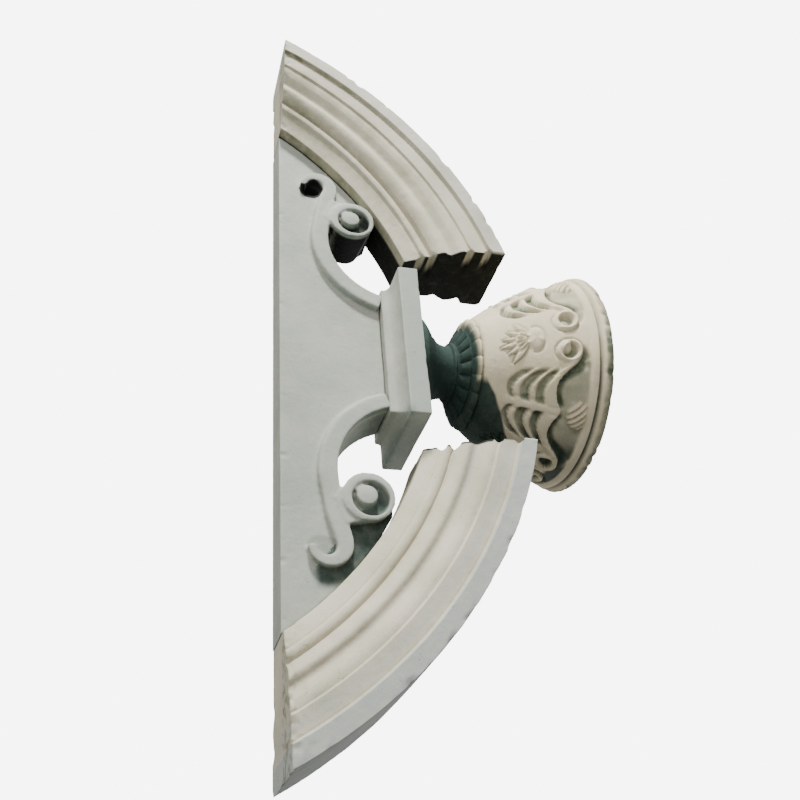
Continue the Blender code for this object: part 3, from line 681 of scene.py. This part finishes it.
def add_volute(height, around, z):
    # A broad ring, with a ball on one side of the leaf and a plain spoon on the other
    away, right_half = np.abs(around), around > 0
    vx = np.radians(away - VOLUTE_TURN) * 0.212
    vz = z - URN_VOLUTE_Z
    far = np.hypot(vx, vz)
    open_foot = np.where(right_half, ease(-0.022, -0.006, vz), 1.0)
    ring = np.clip(1 - ((far - 0.0205) / 0.0055) ** 2, 0, 1)
    ring = np.where(ring > 0, 8.0 * np.sqrt(ring) * (0.35 + 0.65 * open_foot), -99)
    bowl = -9.0 * ease(0.0190, 0.0100, np.hypot(vx + 0.001, vz - 0.002))
    ball = np.hypot(vx - 0.0060, vz + 0.0075)
    knob = np.where(right_half, 5.0, 15.5) * np.sqrt(np.clip(1 - (ball / 0.0135) ** 2, 0, 1))
    groove = -3.5 * hump(far, 0.0272, 0.0020) * ease(28, 31, away)
    return np.where(far < 0.0255, np.maximum(ring - 0.8, bowl + knob), height + groove)


def add_bud(height, around, z):
    # The bud over the leaf's rib, with slanting ribs of its own
    x, up = np.radians(around) * 0.21, z - BUD_Z
    bud = np.clip(1 - (x / BUD_HALF_WIDTH) ** 2 - (up / BUD_HALF_HEIGHT) ** 2, 0, 1)
    slant = np.sin((x + up) * 0.7071 * 2 * pi / BUD_RIB)
    domed = -7 + 14 * np.sqrt(bud) + 4.4 * slant * ease(0, 0.2, bud)
    return np.where(bud > 0, np.maximum(height, domed), height)


def flower(turn, z):
    # A scalloped shell over a fan of leaves
    x = np.radians((turn - URN_TURN + 45) % 90 - 45) * 0.175
    up = z - SHELL_Z
    q = np.hypot(x / SHELL_HALF_WIDTH, up / SHELL_HALF_HEIGHT)
    scallops = 2.0 * np.abs(np.cos(1.5 * np.arctan2(up, x)))
    shell = 8.0 * np.sqrt(np.clip(1 - q ** 2, 0, 1)) - scallops
    height = np.where(q < 1, shell, -3.2 * hump(q, 1.12, 0.10) * (up > -0.006))
    for angle, length in FAN:
        down_x, down_z = sin(radians(angle)), -cos(radians(angle))
        u = (x * down_x + (z - FAN_Z) * down_z) / length
        v = x * down_z - (z - FAN_Z) * down_x
        half = 0.0066 * np.sin(pi * np.clip(u, 0, 1) ** 0.95) + 0.0002
        body = np.clip(1 - (v / half) ** 2, 0, 1) * (u > 0.12) * (u < 1)
        fold = hump(v, 0, 0.0012) * (u > 0.12) * (u < 0.92)
        edge = hump(np.abs(v), half + 0.0014, 0.0016) * ease(0.08, 0.3, u) * (u < 0.99)
        height += 5.0 * np.sqrt(body) - 2.4 * fold * (body > 0) - 4.0 * edge * (q > 1)
    return height


def relief(turn, z):
    around = (turn - URN_TURN) % 90 - 45           # degrees from the leaf's rib
    away = np.abs(around)
    crest = np.interp(away, *CREST)
    height = sunk_ground(away, z, crest) + leaf(away, z, crest) + leaf_rib(away, z)
    band = scroll_end(away, z, crest)
    height = np.where(band > 0, np.maximum(height, 7.0 * band - 1.0), height)
    height = add_volute(height, around, z)
    return add_bud(height, around, z) + flower(turn, z)


# Urn: its body

def bell_radius(share):
    part = np.clip((share - BELL_LOW) / (BELL_HIGH - BELL_LOW), 0, 1)
    low, high = URN_NECK + BELL_SPREAD, URN_RIM - RIM_SET_IN
    return low + (high - low) * (0.56 * np.sin(part * pi / 2) ** 0.9 + 0.44 * part)


def bell_line(levels, inwards):
    return [(float(bell_radius(level / URN_HEIGHT)) - inwards, level) for level in levels]


def urn_outside():
    # Radius and height from the foot up: foot, neck, roll and cup, then the bell, then the rim
    foot = [(URN_FOOT, 0.0), (URN_FOOT, 0.0095), (0.1140, 0.0112), (0.1110, 0.0135), (0.104, 0.0200),
            (0.094, 0.0275), (0.085, 0.0335), (0.0795, 0.0380), (0.0770, 0.0405), (0.0768, 0.0425),
            (0.0735, 0.0435), (0.0690, 0.0490), (0.0640, 0.0570), (0.0610, 0.0660), (URN_NECK, 0.0740),
            (0.0605, 0.0800), (0.0625, 0.0818), (0.0665, 0.0828), (0.0686, 0.0850), (0.0690, 0.0868),
            (0.0683, 0.0890), (0.0655, 0.0905), (0.0690, 0.0920), (0.0730, 0.0945), (0.0845, 0.1010),
            (0.0925, 0.1055), (0.0985, 0.1080), (0.0975, 0.1096), (0.1010, 0.1108), (0.1105, 0.1150),
            (0.1170, 0.1200), (0.1185, 0.1240), (0.1145, 0.1272), (0.1190, 0.1292)]
    rim = [(0.0155, 0.3272), (0.0140, 0.3290), (0.0120, 0.3310), (0.0108, 0.3340), (0.0098, 0.3370),
           (0.0092, 0.3394), (0.0088, 0.3410), (0.0102, 0.3422), (0.0142, 0.3432), (0.0146, 0.3460),
           (0.0114, 0.3478), (0.0062, 0.3496), (0.0028, 0.3525), (0.0008, 0.3565), (0.0, 0.3610),
           (0.0006, 0.3655), (0.0028, 0.3695), (0.0060, 0.3722), (0.0100, 0.3737), (0.0150, 0.3740)]
    radius, level = np.array(foot).T
    run = np.concatenate([[0], np.cumsum(np.hypot(np.diff(radius), np.diff(level)))])
    even = np.linspace(0, run[-1], 92)
    line = list(zip(np.interp(even, run, radius), np.interp(even, run, level)))
    line += bell_line(np.linspace(BELL_LOW * URN_HEIGHT, BELL_HIGH * URN_HEIGHT, 100), 0)
    return line + [(URN_RIM - set_in, height) for set_in, height in rim]


def urn_inside():
    # From the mouth down to the floor of the hollow
    mouth = URN_RIM - URN_WALL - 0.004
    start = MOUTH_FLOOR + URN_WALL / 2
    low = float(bell_radius(start / URN_HEIGHT))
    line = [(mouth + 0.002, 0.3740), (mouth, 0.3722), (mouth, 0.3600), (mouth, 0.3480)]
    line += bell_line(np.linspace(BELL_HIGH * URN_HEIGHT, start, 12), URN_WALL)
    return line + [(low * 0.75, MOUTH_FLOOR + 0.003), (low * 0.40, MOUTH_FLOOR), (0.0, MOUTH_FLOOR)]


def urn_skin():
    turns = 432
    outer = [(0.0, 0.0), (0.06, 0.0)] + urn_outside()
    profile = np.array(outer + urn_inside())
    turn = np.repeat(np.linspace(0, 360, turns + 1)[None] + URN_TURN, len(profile), 0)
    r = np.repeat(profile[:, :1], turns + 1, 1)
    h = np.repeat(profile[:, 1:], turns + 1, 1)
    # Two rows of lobes round the cup
    phase = radians(1) * (turn - URN_TURN) * LOBES / 2
    lower_row = ease(0.0915, 0.0955, h) * ease(0.1100, 0.1070, h)
    r += lower_row * (0.0095 * np.abs(np.cos(phase)) ** 0.50 - 0.0030)
    upper_row = ease(0.1100, 0.1125, h) * ease(0.1295, 0.1265, h)
    r += upper_row * (0.0080 * np.abs(np.cos(phase + 0.4)) ** 0.35)
    # The carved bell
    z = URN_Z + h
    outside = np.arange(len(profile))[:, None] < len(outer)
    bell = outside & (h > BELL_LOW * URN_HEIGHT) & (h < BELL_HIGH * URN_HEIGHT)
    r[bell] += relief(turn[bell], z[bell]) * 0.001
    a = np.radians(turn)
    return skin("urn_carved", *weld([np.stack([r * np.sin(a), -r * np.cos(a), z], -1)]))


def paint_urn_dirt_and_shade(thing, level, turn, cut, outside, top_edge):
    points = read(thing, "co")
    # Darker grey-green in the carving's hollows and the rim's groove, a painted shadow line over the cup
    # under the bell's edge, dirt on the broken top edge and inside
    patch = 0.5 + 0.5 * noise(points, 0.03, 65)
    hollows = 0.42 * ease(-0.8, -4.0, cut) + 0.50 * ease(-6.0, -11.0, cut)
    groove = hump(level, GROOVE_LEVEL, 0.0026) * outside * 0.85
    shadow_over_cup = ease(CUP_TOP, CUP_TOP - 0.0025, level) * ease(0.1250, 0.1275, level) * 0.8
    inside = ~outside * 0.35
    paint(thing, "dirt_and_shade", np.maximum.reduce([hollows, groove, top_edge * (0.55 + 0.45 * patch),
                                            shadow_over_cup, inside]))

    # Painted shade under the bell, over the cup, neck and foot, which climbs the right side away from the
    # light
    under_bell_shade = ease(0.119, 0.107, level - 0.006 * np.sin(np.radians(turn + 60)))
    climb = level - CUP_TOP - 0.0013 * np.clip(turn - 34, 0, 62) + 0.002 * noise(points, 0.02, 66)
    right = ease(33, 44, turn) * ease(170, 140, turn) * ease(0.003, -0.004, climb) * 0.97
    # Painted shade also in the hollows on the far side, on the ground between its volutes and in the
    # rim's groove on the right, where the light does not reach
    far_side = ease(66, 80, turn) * ease(150, 120, turn) * ease(-0.5, -4.0, cut) * 0.85
    shade = ease(80, 90, turn) * ease(150, 130, turn) * ease(2.0, 0.4, cut) * 0.92
    shade *= ease(0.590, 0.600, points[:, 2]) * ease(0.6240, 0.6220, points[:, 2])
    slot = hump(level, GROOVE_LEVEL, 0.0030) * ease(-15, 45, turn) * ease(170, 140, turn) * 0.85
    paint(thing, "painted_shade", np.maximum.reduce([under_bell_shade, right, far_side, shade, slot]) * outside)
    paint(thing, "cool_tone_and_painted_light", 0.35 * ease(-2.0, -5.0, cut))


def urn():
    thing = urn_skin()
    points = read(thing, "co")
    out = np.hypot(points[:, 0], points[:, 1])
    level = points[:, 2] - URN_Z
    turn = np.degrees(np.arctan2(points[:, 0], -points[:, 1]))
    halfway = np.where(level > 0.34, URN_RIM - 0.022, bell_radius(level / URN_HEIGHT) - 0.017)
    outside = (out > halfway) | (level < MOUTH_FLOOR - 0.005)
    bell = outside & (level > BELL_LOW * URN_HEIGHT) & (level < BELL_HIGH * URN_HEIGHT)
    cut = np.zeros(len(points))
    cut[bell] = relief(turn[bell], points[bell, 2])
    top_edge = ease(0.352, 0.360, level + 0.004 * noise(points, 0.013, 60)) * outside
    top_edge *= 0.35 + 0.65 * ease(-50, -5, turn)
    chips = nibbles(points, 0.013, 61, 0.1) * 0.006 * top_edge
    weather(thing, 62, fine=0.0002, broad=0.0005, extra=chips)
    paint_urn_dirt_and_shade(thing, level, turn, cut, outside, top_edge)
    return thing


# Stone finishes

def colour(code):
    # A web colour as linear light
    parts = [int(code[i:i + 2], 16) / 255 for i in (1, 3, 5)]
    return [p / 12.92 if p <= 0.04045 else ((p + 0.055) / 1.055) ** 2.4 for p in parts] + [1.0]


def put(tree, kind, inputs, **settings):
    # One node, with its settings, and with values or links at its sockets
    made = tree.nodes.new(kind)
    for name, value in settings.items():
        setattr(made, name, value)
    for key, value in inputs.items():
        if isinstance(value, bpy.types.NodeSocket):
            tree.links.new(value, made.inputs[key])
        else:
            made.inputs[key].default_value = value
    return made


def limestone(name, face, deep, cool_tone_and_painted_light, dirt_and_shade, painted_shade, grain_mm, bump):
    material = bpy.data.materials.new(name)
    material.use_nodes = True
    tree = material.node_tree
    shader = tree.nodes["Principled BSDF"]
    place = put(tree, "ShaderNodeTexCoord", {}).outputs["Object"]

    def texture(size_mm, detail, rough=0.55):
        return put(tree, "ShaderNodeTexNoise", {"Vector": place, "Scale": 1000 / size_mm,
                                                "Detail": detail, "Roughness": rough}).outputs["Fac"]

    def span(value, low, high, to_low=0.0, to_high=1.0):
        return put(tree, "ShaderNodeMapRange", {"Value": value, "From Min": low, "From Max": high,
                                                "To Min": to_low, "To Max": to_high}).outputs["Result"]

    def times(a, b):
        return put(tree, "ShaderNodeMath", {0: a, 1: b}, operation="MULTIPLY", use_clamp=True).outputs[0]

    def blend(amount, under, over, how="MIX"):
        return put(tree, "ShaderNodeMix", {0: amount, 6: under, 7: over}, data_type="RGBA",
                   blend_type=how).outputs[2]

    def layer(name_of_layer):
        return put(tree, "ShaderNodeAttribute", {}, attribute_name=name_of_layer).outputs["Fac"]

    def bumps(height, strength, height_mm, below=None, invert=False):
        inputs = {"Height": height, "Strength": strength, "Distance": height_mm / 1000}
        if below:
            inputs["Normal"] = below
        return put(tree, "ShaderNodeBump", inputs, invert=invert).outputs[0]

    # Shell grain, cloudy bedding, blotches a thumb wide, and pits about 10 mm apart
    pit_gap_mm = 10
    grain = texture(grain_mm, 5.0, 0.7)
    cloud = texture(110, 4.0)
    blotch = texture(28, 5.0, 0.6)
    pits = put(tree, "ShaderNodeTexVoronoi", {"Vector": place, "Scale": 1000 / pit_gap_mm})
    pit = times(span(pits.outputs["Distance"], 0.16, 0.07), span(blotch, 0.52, 0.60))
    tone = blend(span(cloud, 0.38, 0.66), colour(face), colour(deep))
    tone = blend(span(texture(70, 3.0), 0.56, 0.70, 0.0, 0.35), tone, colour("#d2bfb0"))
    # A cooler grey tone, which in places also carries painted shade and painted light
    tone = blend(times(layer("cool_tone_and_painted_light"), span(blotch, 0.2, 0.7, 0.6, 1.0)), tone, colour(cool_tone_and_painted_light))
    tone = blend(span(grain, 0.25, 0.75, 0.42, 0.0), tone, colour("#7d7a6c"), "MULTIPLY")
    # Dirt and painted shade, then darker painted shade and shadow, then the pits
    tone = blend(times(layer("dirt_and_shade"), span(blotch, 0.3, 0.6, 0.55, 1.1)), tone, colour(dirt_and_shade))
    tone = blend(times(layer("painted_shade"), span(blotch, 0.25, 0.65, 0.97, 1.03)), tone, colour(painted_shade))
    tone = blend(times(pit, 0.55), tone, colour(dirt_and_shade))
    tree.links.new(tone, shader.inputs["Base Color"])
    tree.links.new(span(blotch, 0.3, 0.7, 0.82, 0.95), shader.inputs["Roughness"])
    shader.inputs["Specular IOR Level"].default_value = 0.25
    worn = bumps(blotch, 0.5, 2.0)
    grainy = bumps(grain, bump, 0.6, below=worn)
    tree.links.new(bumps(pit, 0.6, 1.2, below=grainy, invert=True), shader.inputs["Normal"])
    return material


# Cream stone rubbed smooth by rain: chalky, faintly pink in places, olive for dirt and painted shade in
# the quirks and on the soffits, near black for painted shade on the cut ends
CORNICE_STONE = limestone("rubbed cream limestone", "#dfd7c1", "#c6c2a9", "#b9bfba", "#6d6e54",
                          "#0e100a", 1.8, 0.30)
# Denser grey bed: cool, even and dull, with small dark pits, teal grey and near black for painted shade
# and shadows on the carving
PANEL_STONE = limestone("sawn grey limestone", "#bdc0b4", "#a9afa2", "#acb3aa", "#5c6f66",
                        "#0c100c", 1.4, 0.25)
# Warm carved stone: honey-cream high spots, grey-green in the hollows, dark teal painted shade under the
# bell and on its right side
URN_STONE = limestone("carved honey limestone", "#f5e7c8", "#e4d8b4", "#a9b09e", "#5c6853",
                      "#2d3f38", 1.6, 0.30)

finish(cornice(-1), "left_raking_cornice", CORNICE_STONE)
finish(cornice(1), "right_raking_cornice", CORNICE_STONE)
finish(panel(), "tympanum_panel", PANEL_STONE)
finish(cap(), "pedestal_cap", PANEL_STONE)
finish(urn(), "urn", URN_STONE)


# Camera: from below and from the right, and turned as the photograph is, which lies on its side

def look():
    yaw, pitch, roll = radians(35.24), radians(15.28), radians(5.56)
    forward = Vector((-sin(yaw) * cos(pitch), cos(yaw) * cos(pitch), sin(pitch)))
    right = Vector((cos(yaw), sin(yaw), 0))
    up = right.cross(forward)
    right, up = cos(roll) * right + sin(roll) * up, -sin(roll) * right + cos(roll) * up
    camera = show("camera", bpy.data.cameras.new("camera"))
    camera.data.sensor_width = 36.0
    camera.data.lens = 43.80
    camera.matrix_world = Matrix((up, -right, -forward)).transposed().to_4x4()
    camera.location = (1.2514, -1.6505, -0.284)
    bpy.context.scene.camera = camera


# Studio: low light from the left, as in the photograph, and a pale floor well below

FLOOR_Z, FLOOR_HALF = -1.1, 2.5


def lamp(name, place, size, power):
    light = show(name, bpy.data.lights.new(name, "AREA"))
    light.data.size = size
    light.data.energy = power
    light.location = place
    middle_of_piece = Vector((0, 0, 0.3))
    light.rotation_euler = (middle_of_piece - Vector(place)).to_track_quat("-Z", "Y").to_euler()


def lay_floor():
    data = bmesh.new()
    corners = ((-1, -1), (1, -1), (1, 1), (-1, 1))
    data.faces.new([data.verts.new((x * FLOOR_HALF, y * FLOOR_HALF, FLOOR_Z)) for x, y in corners])
    mesh = bpy.data.meshes.new("floor")
    data.to_mesh(mesh)
    data.free()
    floor = show("floor", mesh)
    pale = bpy.data.materials.new("pale matt floor")
    pale.use_nodes = True
    shader = pale.node_tree.nodes["Principled BSDF"]
    shader.inputs["Base Color"].default_value = colour("#f4f4f2")
    shader.inputs["Roughness"].default_value = 0.9
    mesh.materials.append(pale)


def hang_sky():
    # A weak even fill on the stone, and a bright white ground behind it
    world = bpy.data.worlds.new("pale sky")
    world.use_nodes = True
    bpy.context.scene.world = world
    tree = world.node_tree
    tree.nodes.clear()
    fill = put(tree, "ShaderNodeBackground", {"Color": colour("#eef2f6"), "Strength": 0.24})
    seen = put(tree, "ShaderNodeBackground", {"Color": colour("#ffffff"), "Strength": 7.0})
    ray = put(tree, "ShaderNodeLightPath", {})
    both = put(tree, "ShaderNodeMixShader", {0: ray.outputs["Is Camera Ray"], 1: fill.outputs[0],
                                             2: seen.outputs[0]})
    put(tree, "ShaderNodeOutputWorld", {"Surface": both.outputs[0]})


look()
lamp("low key light", (-4.60, -2.60, -0.25), 0.75, 640)
lamp("broad front light", (-0.4, -3.6, -0.2), 2.4, 55)
lamp("high back light", (1.0, 2.6, 2.6), 2.0, 60)
lay_floor()
hang_sky()
